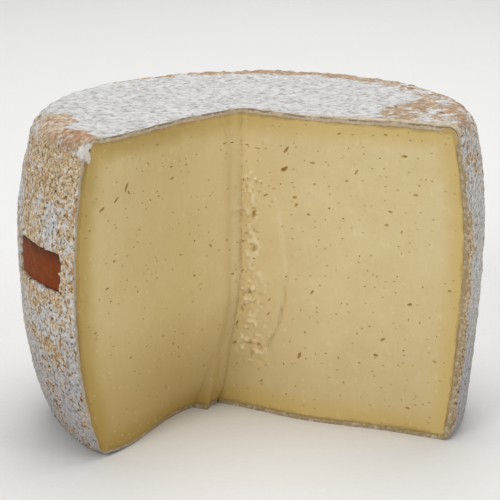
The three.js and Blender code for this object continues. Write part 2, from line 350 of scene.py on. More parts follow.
class Wedge:
    """The two knife cuts and what they leave at the corner between them."""

    def __init__(self, sizes):
        self.height = sizes.wheel_height
        self.reach = 1.4 * sizes.belly_radius
        half = sizes.wedge_opening / 2
        right, left = half - math.pi / 2, -half - math.pi / 2
        self.right_along = np.array([math.cos(right), math.sin(right)])
        self.right_into = np.array([-math.sin(right), math.cos(right)])
        self.left_along = np.array([math.cos(left), math.sin(left)])
        self.left_into = np.array([math.sin(left), -math.cos(left)])

    def hump(self, along, place, half_width):
        """A smooth hump of height 1 about a place."""
        return np.cos(np.clip((along - place) / half_width, -1, 1) * math.pi / 2) ** 2

    def left_depth(self, along, z):
        """How far the left cut lies into the cheese."""
        hollow = LEFT_HOLLOW * self.hump(along, LEFT_HOLLOW_PLACE, LEFT_HOLLOW_HALF_WIDTH)
        turn = np.clip((TURN_HEIGHT - z) / TURN_HEIGHT, 0, 1) ** TURN_POWER
        return hollow + TURN_DEPTH * (1 - smooth(along, TURN_FADE_START, TURN_FADE_END)) * turn

    def right_depth(self, along, z):
        """How far the right cut lies into the cheese."""
        return -RIGHT_OFFSET - RIGHT_SWELL * self.hump(along, RIGHT_SWELL_PLACE, RIGHT_SWELL_HALF_WIDTH)

    def waves(self, along, z, seed):
        """What the knife leaves on any face: a slow waver, drag lines down it, and a faint tooth."""
        spots = np.stack([along, z, np.zeros_like(z)], axis=-1)
        drag = grain(spots * (1, 0.12, 1), 1.6 * MM, seed + 1)
        return (0.22 * grain(spots, 26 * MM, seed) + 0.05 * drag + 0.07 * grain(spots, 3 * MM, seed + 2)) * MM

    def left_texture(self, along, z):
        """Knife marks of the left face, with the nick near its top."""
        across = (along - 12 * MM - (z - 145 * MM) * 0.4) / (0.7 * MM)
        nick = 0.45 * np.exp(-across * across) * smooth(z, 144 * MM, 147 * MM)
        first = self.right_face(self.right_start(z), z, False) @ self.left_along
        sunk = -self.join_shift(z) * (self.left_into @ self.right_along)
        sunk = sunk * (1 - smooth(along, first, self.left_start(z)))
        return self.waves(along, z, 21) + nick * MM + sunk

    def right_texture(self, along, z):
        """Knife marks of the right face, the shallow slab beside the corner and the torn curd on it."""
        heights, places = np.array(SLAB_EDGE, float).T * MM
        inside = np.interp(z, heights, places) - along
        span = plateau(z, 22 * MM, 40 * MM, 96 * MM, 130 * MM)
        slab = -1.1 * span * smooth(inside, -0.2 * MM, 1.3 * MM)
        groove = np.exp(-(((inside + 0.4 * MM) / (0.7 * MM)) ** 2)) * span * (1 - smooth(z, 62 * MM, 90 * MM))
        lumps, pits = self.curd(along, z)
        off = np.hypot((along + 3.6 * MM) / 1.25, z - 106.5 * MM)
        crater = 1.1 * (1 - smooth(off, 1.3 * MM, 2.6 * MM))
        crater = crater - 0.8 * np.exp(-(((off - 2.9 * MM) / (0.7 * MM)) ** 2))
        return self.waves(along, z, 25) + (slab + groove - 2.5 * lumps + 2.6 * pits + crater) * MM

    def curd(self, along, z):
        """The lumps and the pits of the torn curd on the right face, beside the join."""
        height = plateau(z, 22 * MM, 34 * MM, 122 * MM, 136 * MM)
        height = height * smooth(along - self.right_start(z), 0, 1.5 * MM)
        width = (5.5 + 5 * (1 - smooth(z, 50 * MM, 78 * MM))) * MM
        torn = height * np.exp(-(((along - 0.5 * MM) / width) ** 2))
        spots = np.stack([along, z, np.zeros_like(z)], axis=-1)
        lumps = np.clip(0.8 * grain(spots, 2.8 * MM, 31) + 0.8 * grain(spots, 1.7 * MM, 32) - 0.02, 0, 1)
        pits = np.clip(0.9 * grain(spots, 2.6 * MM, 33) + 0.5 * grain(spots, 1.7 * MM, 34) - 0.4, 0, 1)
        return torn * lumps, torn * pits

    def off_faces(self, points):
        """For each cut: where the points lie along it, and how far into the cheese from its face."""
        plan, z = points[:, :2], points[:, 2]
        for way, into, depth, texture in (
            (self.left_along, self.left_into, self.left_depth, self.left_texture),
            (self.right_along, self.right_into, self.right_depth, self.right_texture),
        ):
            along = plan @ way
            yield along, plan @ into - depth(along, z) - texture(along, z)

    def behind(self, points):
        """How far each point lies behind the face that it belongs to."""
        return np.clip(np.maximum(*(off for along, off in self.off_faces(points))), 0, None)

    def in_from_right(self, points):
        """How far each point lies into the cheese from the smooth right cut."""
        along = points[:, :2] @ self.right_along
        return points[:, :2] @ self.right_into - self.right_depth(along, points[:, 2])

    def left_face(self, along, z, textured=True):
        """Points of the left face."""
        depth = self.left_depth(along, z) + (self.left_texture(along, z) if textured else 0)
        return along[..., None] * self.left_along + depth[..., None] * self.left_into

    def right_face(self, along, z, textured=True):
        """Points of the right face."""
        depth = self.right_depth(along, z) + (self.right_texture(along, z) if textured else 0)
        return along[..., None] * self.right_along + depth[..., None] * self.right_into

    def left_start(self, z):
        """Where the left cut starts: level with the front of the rib."""
        depth = self.left_depth(0 * z, z)
        front = -RIGHT_OFFSET - RIB_DEPTH
        return (front - depth * (self.left_into @ self.right_into)) / (self.left_along @ self.right_into)

    def right_start(self, z):
        """Where the right cut starts: a small step past the left one."""
        depth = self.left_depth(0 * z, z) + RIGHT_OFFSET * (self.left_into @ self.right_into)
        return depth / (self.left_into @ self.right_along) + CORNER_STEP - self.join_shift(z)

    def join_shift(self, z):
        """How far left the join lies of a clean one."""
        low = JOIN_SHIFT_LOW * self.hump(z, JOIN_LOW, JOIN_LOW_HALF_HEIGHT)
        return (JOIN_SHIFT + low) * smooth(z, 8 * MM, 32 * MM)

    def wall(self, share, z):
        """The side of the rib, from the join at share 0 to the rib's front at share 1 and on past it."""
        join = self.right_face(self.right_start(z), z)
        first = join @ self.left_along
        rib = np.clip((RIB_HEIGHT - z) / RIB_HEIGHT, 0, 1)
        step = join - self.left_face(first, z)
        face = self.left_face(first + (self.left_start(z) - first) * share, z)
        out = RIB_FRONT * rib * min(share, 1) + 2 * MM * max(share - 1, 0)
        return face + step * (1 - smooth(share, 0, WALL_FADED)) + out[:, None] * self.right_along

    def grid(self, start, step):
        """Places along a cut and heights on it, close together where there is cheese."""
        z = np.linspace(-OVERRUN, self.height + OVERRUN, round((self.height + 2 * OVERRUN) / step))
        share = np.linspace(0, 1, round(FINE_REACH / step))
        first = start(z)
        along = first + (FINE_REACH - first) * share[:, None]
        along = np.vstack([along, np.full((1, len(z)), self.reach)])
        return along, np.broadcast_to(z, along.shape)

    def left_cutter(self, step):
        """The block that the left cut takes."""
        along, z = self.grid(self.left_start, step)
        face = np.dstack([self.left_face(along, z), z])
        aside = np.append(self.right_along * self.reach, 0)
        return face, face + aside

    def right_cutter(self, step):
        """The block that the right cut takes; its inner end is the side of the rib."""
        along, z = self.grid(self.right_start, step)
        face = np.dstack([self.right_face(along, z), z])
        low = z[0]
        shares = np.linspace(WALL_END, 0, WALL_LAYERS)[:-1]
        wall = [np.column_stack([self.wall(share, low), low]) for share in shares]
        far = np.column_stack([self.wall(WALL_FAR, low), low])
        bare = np.dstack([self.right_face(along, z, False), z])
        aside = np.append(self.right_along, 0) * WALL_GAP
        behind = [far + aside * layer for layer in range(len(wall))]
        beyond = bare + far - bare[0] + aside * len(wall)
        return np.stack([*wall, *face]), np.stack([*behind, *beyond])


def new_piece(name, points, faces, finish=None):
    """A mesh object at the origin from its points and faces."""
    mesh = bpy.data.meshes.new(name)
    mesh.from_pydata(np.asarray(points).tolist(), [], [list(map(int, face)) for face in faces])
    mesh.validate()
    made = bpy.data.objects.new(name, mesh)
    bpy.context.scene.collection.objects.link(made)
    if finish:
        mesh.materials.append(finish)
    return made


def skin(rings):
    """Triangles between rings of points; each ring has as many points as its neighbour, half or twice."""
    faces, first = [], 0
    for lower, upper in zip(rings, rings[1:]):
        a, b = len(lower), len(upper)
        second = first + a
        count = max(a, b) if min(a, b) == 1 else min(a, b)
        i = np.arange(count)
        j = (i + 1) % count
        if a == 1:
            corners = [(first + 0 * i, second + j, second + i)]
        elif b == 1:
            corners = [(first + i, first + j, second + 0 * i)]
        elif a == b:
            corners = [(first + i, first + j, second + j), (first + i, second + j, second + i)]
        elif a > b:
            odd = first + 2 * i + 1
            corners = [(first + 2 * i, odd, second + i), (odd, second + j, second + i)]
            corners.append((odd, first + 2 * j, second + j))
        else:
            odd = second + 2 * i + 1
            corners = [(first + i, odd, second + 2 * i), (first + i, first + j, odd)]
            corners.append((first + j, second + 2 * j, odd))
        faces += [np.stack(corner, axis=1) for corner in corners]
        first = second
    return np.vstack(rings), np.vstack(faces)


def quads(index):
    """Four-sided faces between neighbours in a grid of point numbers."""
    corners = [index[:-1, :-1], index[1:, :-1], index[1:, 1:], index[:-1, 1:]]
    return np.stack(corners, axis=-1).reshape(-1, 4)


def block(front, back):
    """A closed block between two grids of points, with its faces turned outwards."""
    rows, columns = front.shape[:2]
    points = np.vstack([front.reshape(-1, 3), back.reshape(-1, 3)])
    index = np.arange(rows * columns).reshape(rows, columns)
    behind = index + rows * columns
    edges = [(behind[0], index[0]), (index[-1], behind[-1])]
    edges += [(index[:, 0], behind[:, 0]), (behind[:, -1], index[:, -1])]
    faces = np.vstack([quads(index), quads(behind[::-1]), *(quads(np.stack(edge)) for edge in edges)])
    a, b, c, d = (points[faces[:, k]] for k in range(4))
    volume = np.einsum("ij,ij->", a, np.cross(b, c)) + np.einsum("ij,ij->", a, np.cross(c, d))
    return points, faces if volume > 0 else faces[:, ::-1]


def settle(piece):
    """Turns a piece with its modifiers into a plain mesh."""
    graph = bpy.context.evaluated_depsgraph_get()
    mesh = bpy.data.meshes.new_from_object(piece.evaluated_get(graph))
    piece.modifiers.clear()
    old, piece.data = piece.data, mesh
    mesh.name = piece.name
    bpy.data.meshes.remove(old)
    return piece


def carve(piece, *cutters):
    """Cuts each cutter out of a piece and takes the cutter away."""
    for cutter in cutters:
        cut = piece.modifiers.new("Cut", "BOOLEAN")
        cut.operation = "DIFFERENCE"
        cut.solver = "MANIFOLD"
        cut.object = cutter
        before = len(piece.data.vertices)
        settle(piece)
        if len(piece.data.vertices) == before:
            raise RuntimeError(f"{cutter.name} cut nothing from {piece.name}")
        mesh = cutter.data
        bpy.data.objects.remove(cutter)
        bpy.data.meshes.remove(mesh)


def vertices_of(mesh):
    """The points of a mesh as an array."""
    flat = np.empty(len(mesh.vertices) * 3)
    mesh.vertices.foreach_get("co", flat)
    return flat.reshape(-1, 3)


def note(mesh, name, values, domain="POINT"):
    """Stores a number for each point or face."""
    layer = mesh.attributes.new(name, "FLOAT", domain)
    layer.data.foreach_set("value", np.asarray(values, np.float32))


def soften(mesh, degrees):
    """Smooth shading, apart from edges sharper than an angle."""
    mesh.polygons.foreach_set("use_smooth", [True] * len(mesh.polygons))
    mesh.set_sharp_from_angle(angle=math.radians(degrees))


def dress(mesh, finish, degrees, **notes):
    """Stores numbers for the points of a mesh, gives it one material and shades it."""
    for name, values in notes.items():
        note(mesh, name, values)
    mesh.materials.clear()
    mesh.materials.append(finish)
    mesh.polygons.foreach_set("material_index", [0] * len(mesh.polygons))
    soften(mesh, degrees)


def finish_piece(piece, slot, *nodes):
    """Hangs a finished piece on the frame."""
    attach(piece, "root")
    if nodes:
        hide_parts(*nodes)


class Signal:
    """The output of a node. Arithmetic on it adds Math nodes."""

    def __init__(self, graph, socket):
        self.graph = graph
        self.socket = socket

    def math(self, operation, first, second=0.0):
        return self.graph.add("ShaderNodeMath", {"operation": operation}, {0: first, 1: second})

    def __add__(self, other):
        return self.math("ADD", self, other)

    def __radd__(self, other):
        return self.math("ADD", other, self)

    def __sub__(self, other):
        return self.math("SUBTRACT", self, other)

    def __rsub__(self, other):
        return self.math("SUBTRACT", other, self)

    def __mul__(self, other):
        return self.math("MULTIPLY", self, other)

    def __rmul__(self, other):
        return self.math("MULTIPLY", other, self)

    def band(self, low, high):
        """0 below low, 1 above high; the other way round when low is above high."""
        limits = (low, high, 0.0, 1.0) if low < high else (high, low, 1.0, 0.0)
        values = dict(zip(("From Min", "From Max", "To Min", "To Max"), limits), Value=self)
        return self.graph.add("ShaderNodeMapRange", {"interpolation_type": "SMOOTHSTEP"}, values)


class Graph:
    """The nodes of one tree. Every node comes from add."""

    def __init__(self, tree):
        self.tree = tree
        tree.nodes.clear()

    def add(self, kind, settings=None, values=None, output=0):
        """Adds a node, makes its settings, then fills or links its sockets."""
        node = self.tree.nodes.new(kind)
        for name, value in (settings or {}).items():
            if name == "stops":
                self.set_stops(node.color_ramp.elements, value)
            else:
                setattr(node, name, value)
        for name, value in (values or {}).items():
            socket = node.inputs[name]
            if isinstance(value, Signal):
                self.tree.links.new(value.socket, socket)
            else:
                socket.default_value = value
        return Signal(self, node.outputs[output] if node.outputs else None)

    def set_stops(self, elements, stops):
        """Gives a colour ramp its places and colours."""
        while len(elements) < len(stops):
            elements.new(1.0)
        for element, (place, colour) in zip(elements, stops):
            element.position, element.color = place, colour


class Finish(Graph):
    """A material made of nodes on the piece's own coordinates."""

    def __init__(self, name):
        self.material = bpy.data.materials.new(name)
        self.material.use_nodes = True
        super().__init__(self.material.node_tree)
        self.place = self.add("ShaderNodeTexCoord", output="Object")

    def moved_place(self, shift, stretch):
        """The piece's own coordinates, shifted and stretched."""
        values = {"Vector": self.place, "Location": shift, "Scale": stretch}
        return self.add("ShaderNodeMapping", {"vector_type": "POINT"}, values)

    def lumps(self, size, detail=2.0, roughness=0.5, shift=0.0, stretch=(1, 1, 1)):
        """Soft noise from 0 to 1 with lumps about one size across."""
        where = self.moved_place((shift, shift * 0.7, -shift), stretch)
        values = {"Vector": where, "Scale": 1 / size, "Detail": detail, "Roughness": roughness}
        return self.add("ShaderNodeTexNoise", {"noise_dimensions": "3D"}, values)

    def cells(self, size, shift, stretch=(1, 1, 1)):
        """Cells about one size across: the distance from each middle, and a random number for each."""
        where = self.moved_place((shift, -shift, shift), stretch)
        distance = self.add("ShaderNodeTexVoronoi", {}, {"Vector": where, "Scale": 1 / size}, "Distance")
        colour = Signal(self, distance.socket.node.outputs["Color"])
        return distance, self.add("ShaderNodeSeparateColor", {}, {"Color": colour})

    def noted(self, *names):
        """Numbers stored on the mesh."""
        return [self.add("ShaderNodeAttribute", {"attribute_name": name}, output="Fac") for name in names]

    def ramp(self, value, *stops):
        """A colour chosen by a number, from places and colours in rising order."""
        return self.add("ShaderNodeValToRGB", {"stops": stops}, {0: value})

    def part_of_place(self, axis):
        """One coordinate, in metres."""
        return self.add("ShaderNodeSeparateXYZ", {}, {0: self.place}, axis)

    def mix(self, first, second, share):
        """One colour over another."""
        settings = {"data_type": "RGBA", "blend_type": "MIX"}
        return self.add("ShaderNodeMix", settings, {0: share, 6: first, 7: second}, 2)

    def coats(self, colour, *layers):
        """Further colours over a first one, each with its share."""
        for over, share in layers:
            colour = self.mix(colour, over, share)
        return colour

    def bump(self, height, distance, strength):
        """A normal from a height."""
        return self.add("ShaderNodeBump", {}, {"Height": height, "Distance": distance, "Strength": strength})

    def surface(self, colour, roughness, normal, shine):
        """Ends the tree in one surface."""
        values = {"Base Color": colour, "Roughness": roughness, "Normal": normal, "Specular IOR Level": shine}
        shader = self.add("ShaderNodeBsdfPrincipled", {}, values)
        self.add("ShaderNodeOutputMaterial", {}, {"Surface": shader})
        return self.material


def tone(red, green, blue):
    """A colour from its screen values, 0 to 255."""
    channels = [value / 255 for value in (red, green, blue)]
    return tuple(v / 12.92 if v <= 0.04045 else ((v + 0.055) / 1.055) ** 2.4 for v in channels) + (1.0,)


def colour_of(prop):
    """A colour property with its alpha."""
    return tuple(prop) + (1.0,)


def paste_finish(colours):
    """Pressed, pale yellow paste, darker and yellower towards its rind; painted shade darkens and yellows its
    foot and its left face.
    """
    finish = Finish("cheese paste")
    depth, pit, curd, hollow, seam = finish.noted("depth", "pit", "curd", "hollow", "seam")
    # Painted shade: the paste is darkened and yellowed towards its foot and across the left face.
    low = finish.part_of_place("Z").band(0.085, 0.0)
    left_face_shade = finish.part_of_place("X").band(0.03, -0.06)
    broad = finish.lumps(26 * MM, 2.0)
    soft = finish.lumps(7 * MM, 3.0, shift=0.3)
    fine = finish.lumps(1.3 * MM, 3.0, 0.6, shift=0.7)
    drag = finish.lumps(2.2 * MM, 2.0, shift=0.9, stretch=(1, 1, 0.2))
    uneven = depth + (soft - 0.5) * 4.0 + (fine - 0.5)
    # Painted shade: the paste under the rind is darker on the left face.
    rim = finish.mix(colour_of(colours.under_rind), tone(168, 138, 56), left_face_shade)
    tick, chance = finish.cells(5.2 * MM, 0.2, (1, 1, 1.9))
    ticks = tick.band(0.17, 0.1) * chance.band(0.55, 0.6)
    speck, lucky = finish.cells(4.1 * MM, 0.6)
    specks = speck.band(0.24, 0.1) * lucky.band(0.5, 0.56)
    colour = finish.coats(
        colour_of(colours.paste),
        (colour_of(colours.paste_shade), broad.band(0.35, 0.7) * 0.45),
        (tone(230, 214, 172), soft.band(0.52, 0.8) * 0.35),
        (tone(178, 156, 104), fine.band(0.56, 0.8) * 0.3),
        (tone(226, 206, 158), drag.band(0.56, 0.74) * 0.25),
        # Painted shade: the next two coats darken and yellow the left face and the foot.
        (tone(204, 180, 116), left_face_shade * 0.45),
        (tone(176, 148, 84), low * (0.3 + left_face_shade * 0.5)),
        (rim, uneven.band(16.5, 4.0) * 0.66),
        (tone(156, 122, 60), uneven.band(4.2, 2.8) * 0.45),
        (tone(158, 130, 70), ticks * 0.55),
        (tone(232, 215, 170), specks * 0.22),
        # Painted shade in the crease along the join between the cuts.
        (tone(166, 140, 74), seam * fine.band(0.42, 0.6) * soft.band(0.42, 0.56) * 0.4),
        (tone(234, 219, 178), curd.band(0.02, 0.45) * (0.3 + fine * 0.35)),
        # Painted shade in the pits between the torn curd lumps.
        (tone(172, 136, 62), hollow.band(0.05, 0.4) * 0.65),
        # A warmer colour inside the pores and holes, and painted shade that darkens them the deeper they go.
        (tone(198, 160, 74), pit.band(0.1, 0.5) * 0.7),
        (tone(150, 108, 40), pit.band(0.5, 1.3) * 0.7),
    )
    height = fine * 0.35 + soft * 0.5 + drag * 0.25 - ticks * 0.5
    return finish.surface(colour, 0.5 + fine * 0.16, finish.bump(height, 0.4 * MM, 0.75), 0.35)


class RindFinish(Finish):
    """Grey and white bloom over a tan crust, and the layers that show where the knife went through it."""

    def __init__(self, colours):
        super().__init__("cheese rind")
        self.colours = colours
        self.top = self.part_of_place("Z").band(0.152, 0.160)
        # Painted shade: the lower side of the rind is made darker and greyer, in the ramps of the crust and
        # the bloom and in a grey coat over the bloom.
        self.low = self.part_of_place("Z").band(0.085, 0.015)
        self.side = 1.0 - self.top
        self.patches = self.lumps(15 * MM, 3.0, 0.6)
        self.blots = self.lumps(6 * MM, 3.0, 0.65, shift=0.2)
        self.crumbs = self.lumps(2.3 * MM, 4.0, 0.7, shift=0.4)
        self.grit = self.lumps(1.1 * MM, 3.0, 0.65, shift=0.6)
        self.warm = self.lumps(9 * MM, 2.0, shift=0.8)
        self.brushed = self.lumps(3.2 * MM, 5.0, 0.72, shift=1.1, stretch=(0.8, 1, 1))
        self.crumb = self.cells(2.0 * MM, 0.3)[0]
        mixed = (self.crumbs - 0.5) * 0.95 + (self.grit - 0.5) * 0.75
        # Its last term is painted shade that darkens the lower side.
        self.sharp = 0.55 + mixed * 1.15 + (0.45 - self.crumb) * 0.2 - self.low * 0.07

    def crust(self):
        """Crumbly tan crust, plainer on the top, with a brown streak at the top's left."""
        rough = self.ramp(
            self.sharp, (0.26, tone(80, 60, 38)), (0.39, tone(150, 120, 82)),
            (0.5, colour_of(self.colours.crust)), (0.62, tone(216, 194, 158)), (0.78, tone(240, 230, 210)),
        )
        plain = self.ramp(
            self.brushed, (0.32, tone(100, 76, 56)), (0.44, tone(146, 118, 94)), (0.54, tone(170, 146, 122)),
            (0.68, tone(210, 198, 182)),
        )
        outer_left = self.top * self.part_of_place("X").band(-0.076, -0.088)
        streak = outer_left * self.part_of_place("Y").band(-0.034, -0.042) * self.brushed.band(0.66, 0.44)
        return self.coats(
            rough,
            (plain, self.top * 0.8),
            (tone(212, 196, 174), outer_left * self.brushed.band(0.4, 0.6) * 0.6),
            (tone(158, 116, 80), streak * 0.75),
            (tone(176, 126, 84), self.warm.band(0.54, 0.7) * 0.4),
        )

    def mould(self):
        """Grey-white bloom on the side, and chalk with brushed streaks on the top."""
        grey = self.ramp(
            self.sharp, (0.24, tone(98, 88, 76)), (0.36, tone(156, 150, 144)), (0.47, tone(190, 187, 184)),
            (0.58, colour_of(self.colours.bloom)), (0.72, tone(232, 230, 227)),
        )
        chalk = self.ramp(
            self.brushed, (0.32, tone(112, 108, 104)), (0.41, tone(168, 166, 163)),
            (0.49, tone(190, 189, 186)), (0.61, tone(211, 210, 208)),
        )
        pale = self.patches.band(0.46, 0.6) * self.brushed.band(0.4, 0.5)
        bare = self.top * self.blots.band(0.6, 0.7) * self.brushed.band(0.55, 0.42)
        return self.coats(
            grey,
            (tone(196, 178, 160), self.warm.band(0.52, 0.72) * self.side * 0.4),
            # Painted shade: greyer bloom low on the side.
            (tone(162, 158, 162), self.low * 0.5),
            (self.mix(chalk, tone(216, 215, 213), pale * 0.45), self.top * 0.9),
            (tone(176, 154, 140), bare * 0.6),
        )

    def section(self, depth):
        """What the knife laid bare: a dark line just below the top's surface, a dry band, and the darker
        paste under it.
        """
        ragged = depth + (self.crumbs - 0.5) * 1.8 + (self.blots - 0.5) * 0.8
        left = self.part_of_place("X").band(-0.05, -0.08) * self.side
        line = ragged.band(-0.1, 0.35) * ragged.band(1.2, 0.6) * self.top * self.blots.band(0.62, 0.44)
        return self.coats(
            tone(172, 152, 116),
            (tone(192, 174, 146), self.top.band(0.0, 0.6)),
            (tone(222, 210, 188), self.crumbs.band(0.48, 0.62) * 0.6),
            (tone(172, 136, 104), self.warm.band(0.5, 0.62) * self.crumbs.band(0.45, 0.6) * 0.5),
            (tone(92, 74, 54), line * 0.65),
            (tone(190, 182, 166), left * ragged.band(1.3, 0.8) * 0.7),
            (tone(162, 132, 74), ragged.band(2.1, 2.7) * 0.75),
            (tone(164, 134, 74), left * ragged.band(0.9, 1.4) * 0.8),
        )

    def whole(self):
        """All of it in one surface."""
        depth, bloom, cut, torn, lip = self.noted("depth", "bloom", "cut", "torn", "lip")
        side, blots, crumbs, grit = self.side, self.blots, self.crumbs, self.grit
        white = bloom + (self.patches - 0.5) * 1.3 + (blots - 0.5) * 1.3 + (crumbs - 0.5) * (1.0 + side * 0.5)
        cell, chance = self.cells(2.2 * MM, 0.1)
        flecks = cell.band(0.34, 0.16) * chance.band(0.16, 0.1)
        lights = cell.band(0.4, 0.15) * chance.band(0.78, 0.86)
        lip = lip + (blots - 0.5) * 0.8 + (crumbs - 0.5) * 0.5
        # Painted shadow along the edge of the cream lip on the top.
        lip_edge_shadow = lip.band(0.2, 0.38) * lip.band(0.6, 0.42) * blots.band(0.6, 0.45)
        cream = self.mix(tone(178, 160, 130), tone(208, 194, 168), crumbs.band(0.42, 0.6))
        spots = {0: self.place, 1: TORN_SPOT}
        away = self.add("ShaderNodeVectorMath", {"operation": "DISTANCE"}, spots, "Value")
        # Painted shade: faces deep below the outside, off the cuts and clear of the torn corner, mainly the
        # walls and floor of the label's dent, are made dark brown.
        inner = (1 - cut) * depth.band(1.0, 1.8) * torn.band(0.15, 0.05)
        colour = self.coats(
            self.crust(),
            (self.mould(), white.band(0.38, 0.62)),
            (tone(74, 58, 42), flecks * (0.3 + side * 0.45)),
            (tone(238, 230, 212), lights * side * 0.6),
            (cream, lip.band(0.35, 0.5) * 0.85),
            (tone(112, 90, 66), lip_edge_shadow * 0.8),
            (self.section(depth), cut),
            (tone(232, 229, 222), torn.band(0.18, 0.4) * crumbs.band(0.36, 0.46) * 0.85),
            (tone(52, 42, 30), away.band(1.5 * MM, 0.8 * MM) * 0.9),
            (tone(56, 34, 20), inner * 0.9),
        )
        height = crumbs * 0.9 + grit * 0.6 + blots * 0.3 - self.crumb * 0.5 + lights * 0.5
        height = height * (0.35 + side * 0.65) + self.brushed * self.top * 0.5 - flecks * 0.6
        return self.surface(colour, 0.8 + grit * 0.16, self.bump(height, 1.3 * MM, 0.9), 0.22)


def label_finish(colours):
    """Red-brown casein, darker along its top and lightly scratched."""
    finish = Finish("casein label")
    across, along = finish.noted("across", "along")
    stain = finish.lumps(4.5 * MM, 3.0, 0.6)
    fine = finish.lumps(0.9 * MM, 2.0, shift=0.5)
    slanted = along * 21 + across * 9 + (stain - 0.5) * 0.6
    waves = finish.add("ShaderNodeMath", {"operation": "SINE"}, {0: slanted})
    scratch = waves.band(0.965, 1.0) * fine.band(0.4, 0.6) * across.band(0.2, 0.35) * along.band(0.75, 0.45)
    shade = across + (stain - 0.5) * 0.5
    colour = finish.coats(
        colour_of(colours.label),
        (tone(136, 76, 40), stain.band(0.45, 0.75) * 0.7),
        (tone(84, 48, 28), shade.band(0.68, 0.95) * 0.75),
        (tone(186, 122, 84), scratch * 0.7),
        (tone(150, 134, 112), fine.band(0.66, 0.8) * 0.35),
    )
    height = fine * 0.4 + stain * 0.5 + scratch * 0.3
    return finish.surface(colour, 0.6 + fine * 0.2, finish.bump(height, 0.25 * MM, 0.7), 0.12)


def grain_finish(colours):
    """Crumbs of crust and tufts of mould that stand up from the rind."""
    finish = Finish("rind crumbs")
    blots = finish.lumps(4 * MM, 2.0)
    fine = finish.lumps(1.1 * MM, 2.0, shift=0.4)
    colour = finish.mix(tone(212, 192, 164), colour_of(colours.bloom), blots.band(0.4, 0.6))
    colour = finish.mix(colour, tone(150, 118, 84), fine.band(0.58, 0.75) * 0.5)
    return finish.surface(colour, 0.86 + fine * 0.1, finish.bump(fine, 0.3 * MM, 0.6), 0.2)


def curd_finish(colours):
    """Torn curd, paler than the cut paste."""
    finish = Finish("torn curd")
    soft = finish.lumps(3 * MM, 2.0)
    fine = finish.lumps(0.9 * MM, 2.0, shift=0.4)
    colour = finish.mix(colour_of(colours.paste), tone(236, 220, 180), soft.band(0.35, 0.6))
    colour = finish.mix(colour, tone(186, 152, 88), fine.band(0.6, 0.75) * 0.5)
    return finish.surface(colour, 0.5 + fine * 0.14, finish.bump(fine, 0.25 * MM, 0.5), 0.35)


def paper_finish():
    """Pale matt studio paper."""
    finish = Finish("studio paper")
    fibre = finish.lumps(3 * MM, 2.0)
    colour = finish.mix(tone(226, 225, 222), tone(232, 231, 229), fibre)
    return finish.surface(colour, 0.9 + fibre * 0.05, finish.bump(fibre, 0.1 * MM, 0.1), 0.1)


def scatter(name, sheet, finish, spacing, density, smallest, largest, flatness, seed, divisions=2):
    """Scatters rounded lumps over a sheet with Geometry Nodes and returns them as one plain mesh."""
    tree = bpy.data.node_groups.new(name, "GeometryNodeTree")
    inputs = {"Spacing": spacing, "Density": density}
    inputs |= {"Smallest": smallest, "Largest": largest, "Flatness": flatness}
    new_socket = tree.interface.new_socket
    new_socket("Geometry", in_out="INPUT", socket_type="NodeSocketGeometry")
    sockets = {key: new_socket(key, in_out="INPUT", socket_type="NodeSocketFloat") for key in inputs}
    new_socket("Geometry", in_out="OUTPUT", socket_type="NodeSocketGeometry")
    graph = Graph(tree)
    entry = graph.add("NodeGroupInput").socket.node
    given = {key: Signal(graph, entry.outputs[key]) for key in ["Geometry", *inputs]}
    spread = {"Mesh": given["Geometry"], "Distance Min": given["Spacing"], "Density Max": given["Density"]}
    spread["Seed"] = seed
    points = graph.add("GeometryNodeDistributePointsOnFaces", {"distribute_method": "POISSON"}, spread)
    facing = Signal(graph, points.socket.node.outputs["Rotation"])
    ball = graph.add("GeometryNodeMeshIcoSphere", {}, {"Radius": 1.0, "Subdivisions": divisions})
    sizes = {"Min_001": given["Smallest"], "Max_001": given["Largest"]}

    def chosen(shift):
        node = tree.nodes.new("FunctionNodeRandomValue")
        for key, value in sizes.items():
            socket = next(s for s in node.inputs if s.identifier == key)
            tree.links.new(value.socket, socket)
        next(s for s in node.inputs if s.identifier == "Seed").default_value = seed + shift
        return Signal(graph, next(s for s in node.outputs if s.identifier == "Value_001"))

    widths = {"X": chosen(1), "Y": chosen(2), "Z": chosen(3) * given["Flatness"]}
    scale = graph.add("ShaderNodeCombineXYZ", {}, widths)
    laid = {"Points": points, "Instance": ball, "Rotation": facing, "Scale": scale}
    placed = graph.add("GeometryNodeInstanceOnPoints", {}, laid)
    real = graph.add("GeometryNodeRealizeInstances", {}, {"Geometry": placed})
    spot = graph.add("GeometryNodeInputPosition")
    rough = graph.add("ShaderNodeTexNoise", {}, {"Vector": spot, "Scale": 1300.0, "Detail": 1.0}, "Color")
    centred = graph.add("ShaderNodeVectorMath", {"operation": "SUBTRACT"}, {0: rough, 1: (0.5, 0.5, 0.5)})
    moved = graph.add("ShaderNodeVectorMath", {"operation": "SCALE"}, {0: centred, "Scale": largest * 0.7})
    shaped = graph.add("GeometryNodeSetPosition", {}, {"Geometry": real, "Offset": moved})
    coloured = graph.add("GeometryNodeSetMaterial", {}, {"Geometry": shaped, "Material": finish})
    graph.add("NodeGroupOutput", {}, {"Geometry": coloured})
    modifier = sheet.modifiers.new(name, "NODES")
    modifier.node_group = tree
    for key, value in inputs.items():
        modifier[sockets[key].identifier] = value
    settle(sheet)
    sheet.name = sheet.data.name = name
    return sheet


def face_sheet(face, low, high, bottom, top, step):
    """Part of a cut face as a thin sheet, for pores or crumbs to be scattered on."""
    along, z = np.meshgrid(np.arange(low, high, step) * MM, np.arange(bottom, top, step) * MM, indexing="ij")
    points = np.dstack([face(along, z, False), z]).reshape(-1, 3)
    return new_piece("sheet", points, quads(np.arange(along.size).reshape(along.shape)))


